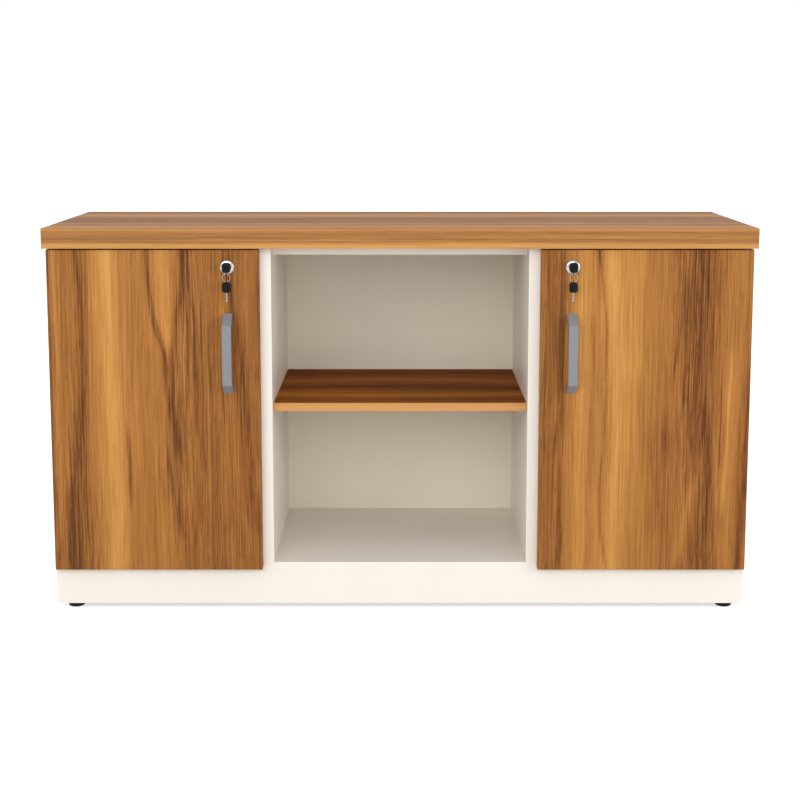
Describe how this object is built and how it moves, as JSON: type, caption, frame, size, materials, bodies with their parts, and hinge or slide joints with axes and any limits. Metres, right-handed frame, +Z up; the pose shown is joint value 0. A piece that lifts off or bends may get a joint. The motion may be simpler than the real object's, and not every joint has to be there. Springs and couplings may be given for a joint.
{
  "type": "office credenza",
  "caption": "Low office cupboard with a thick wood-look top, a white carcass, an open centre bay with a shelf, and a hinged locking door with a bow handle on either side.",
  "frame": {"origin": "on the floor, under the middle of the whole piece's box, handles and keys included", "axes": "+X to the right as seen from the front, +Y from the doors to the back, +Z up; the doors' handles face -Y"},
  "size_m": [1.35, 0.471, 0.75],
  "materials": {
    "top_laminate": "walnut laminate, low sheen",
    "door_laminate": "walnut laminate, low sheen",
    "white_board": "warm white melamine, matt",
    "back_board": "warm white melamine, matt",
    "pine": "planed softwood",
    "satin_metal": "satin grey",
    "bright_metal": "polished plating",
    "zinc": "bright zinc",
    "hinge_steel": "nickel plating",
    "black_plastic": "fine matt"
  },
  "bodies": {
    "carcass": {"back_panel": "back_board", "back_skirting": "white_board", "bottom_panel": "white_board", "centre_shelf": "top_laminate", "corner_blocks": "pine", "divider_screws": "zinc", "fitting_screws": "zinc", "foot_pads": "black_plastic", "foot_studs": "zinc", "front_skirting": "white_board", "hinge_arms": "hinge_steel", "hinge_plates": "hinge_steel", "lock_strikes": "zinc", "plinth_bearers": "pine", "shelf_pins": "zinc", "top_board": "top_laminate", "top_edge_band": "top_laminate", "top_rails": "white_board", "top_screws": "zinc", "left_side": "white_board", "left_inner_side": "white_board", "left_bay_side": "white_board", "left_shelf": "white_board", "right_side": "white_board", "right_inner_side": "white_board", "right_bay_side": "white_board", "right_shelf": "white_board"},
    "left_outer_link": {"left_outer_links": "hinge_steel"},
    "left_inner_link": {"left_inner_links": "hinge_steel"},
    "left_door": {"left_door_panel": "door_laminate", "left_door_edge_band": "door_laminate", "left_hinge_cups": "hinge_steel", "left_door_screws": "zinc", "left_handle": "satin_metal", "left_lock_barrel": "bright_metal", "left_lock_nut": "bright_metal"},
    "left_plug": {"left_lock_plug": "bright_metal", "left_lock_cam": "zinc", "left_key_blade": "bright_metal"},
    "left_key_head": {"left_key_head": "black_plastic"},
    "left_ring": {"left_key_ring": "bright_metal"},
    "left_spare": {"left_spare_head": "black_plastic"},
    "left_spare_blade": {"left_spare_blade": "bright_metal"},
    "right_outer_link": {"right_outer_links": "hinge_steel"},
    "right_inner_link": {"right_inner_links": "hinge_steel"},
    "right_door": {"right_door_panel": "door_laminate", "right_door_edge_band": "door_laminate", "right_hinge_cups": "hinge_steel", "right_door_screws": "zinc", "right_handle": "satin_metal", "right_lock_barrel": "bright_metal", "right_lock_nut": "bright_metal"},
    "right_plug": {"right_lock_plug": "bright_metal", "right_lock_cam": "zinc", "right_key_blade": "bright_metal"},
    "right_key_head": {"right_key_head": "black_plastic"},
    "right_ring": {"right_key_ring": "bright_metal"},
    "right_spare": {"right_spare_head": "black_plastic"},
    "right_spare_blade": {"right_spare_blade": "bright_metal"}
  },
  "joints": [
    {"name": "left_outer_link_turn", "type": "hinge", "parent": "carcass", "child": "left_outer_link", "pos_m": [-0.6347, -0.19, 0.3976], "axis": [0, 0, -1], "range_deg": [-42.5, 0]},
    {"name": "left_inner_link_turn", "type": "hinge", "parent": "carcass", "child": "left_inner_link", "pos_m": [-0.6363, -0.1989, 0.3976], "axis": [0, 0, -1], "range_deg": [-30.6, 0]},
    {"name": "left_door_open", "type": "hinge", "parent": "left_outer_link", "child": "left_door", "pos_m": [-0.6572, -0.1923, 0.3976], "axis": [0, 0, -1], "range_deg": [0, 137]},
    {"name": "left_lock_turn", "type": "hinge", "parent": "left_door", "child": "left_plug", "pos_m": [-0.3268, -0.2075, 0.6763], "axis": [0, 1, 0], "range_deg": [0, 90]},
    {"name": "left_key_fold", "type": "hinge", "parent": "left_plug", "child": "left_key_head", "pos_m": [-0.3268, -0.2211, 0.6763], "axis": [-1, 0, 0], "range_deg": [0, 90]},
    {"name": "left_ring_hang", "type": "hinge", "parent": "left_key_head", "child": "left_ring", "pos_m": [-0.3268, -0.2211, 0.6656], "axis": [-1, 0, 0], "range_deg": [-90, 0]},
    {"name": "left_spare_hang", "type": "hinge", "parent": "left_ring", "child": "left_spare", "pos_m": [-0.3268, -0.2211, 0.6578], "axis": [0, 1, 0], "range_deg": [-90, 0]},
    {"name": "left_spare_fold", "type": "hinge", "parent": "left_spare", "child": "left_spare_blade", "pos_m": [-0.3268, -0.2211, 0.6393], "axis": [-0.9063, -0.4226, 0], "range_deg": [0, 90]},
    {"name": "right_outer_link_turn", "type": "hinge", "parent": "carcass", "child": "right_outer_link", "pos_m": [0.6347, -0.19, 0.3976], "axis": [0, 0, 1], "range_deg": [-42.5, 0]},
    {"name": "right_inner_link_turn", "type": "hinge", "parent": "carcass", "child": "right_inner_link", "pos_m": [0.6363, -0.1989, 0.3976], "axis": [0, 0, 1], "range_deg": [-30.6, 0]},
    {"name": "right_door_open", "type": "hinge", "parent": "right_outer_link", "child": "right_door", "pos_m": [0.6572, -0.1923, 0.3976], "axis": [0, 0, 1], "range_deg": [0, 137]},
    {"name": "right_lock_turn", "type": "hinge", "parent": "right_door", "child": "right_plug", "pos_m": [0.3268, -0.2075, 0.6763], "axis": [0, -1, 0], "range_deg": [0, 90]},
    {"name": "right_key_fold", "type": "hinge", "parent": "right_plug", "child": "right_key_head", "pos_m": [0.3268, -0.2211, 0.6763], "axis": [-1, 0, 0], "range_deg": [0, 90]},
    {"name": "right_ring_hang", "type": "hinge", "parent": "right_key_head", "child": "right_ring", "pos_m": [0.3268, -0.2211, 0.6656], "axis": [-1, 0, 0], "range_deg": [-90, 0]},
    {"name": "right_spare_hang", "type": "hinge", "parent": "right_ring", "child": "right_spare", "pos_m": [0.3268, -0.2211, 0.6578], "axis": [0, -1, 0], "range_deg": [-90, 0]},
    {"name": "right_spare_fold", "type": "hinge", "parent": "right_spare", "child": "right_spare_blade", "pos_m": [0.3268, -0.2211, 0.6393], "axis": [-0.9063, 0.4226, 0], "range_deg": [0, 90]}
  ],
  "couplings": [
    {"joint": "left_outer_link_turn", "follows": "left_door_open", "ratio": -0.3055},
    {"joint": "left_inner_link_turn", "follows": "left_door_open", "ratio": -0.2194},
    {"joint": "left_ring_hang", "follows": "left_key_fold", "ratio": -1},
    {"joint": "left_spare_hang", "follows": "left_lock_turn", "ratio": -1},
    {"joint": "right_outer_link_turn", "follows": "right_door_open", "ratio": -0.3055},
    {"joint": "right_inner_link_turn", "follows": "right_door_open", "ratio": -0.2194},
    {"joint": "right_ring_hang", "follows": "right_key_fold", "ratio": -1},
    {"joint": "right_spare_hang", "follows": "right_lock_turn", "ratio": -1}
  ]
}
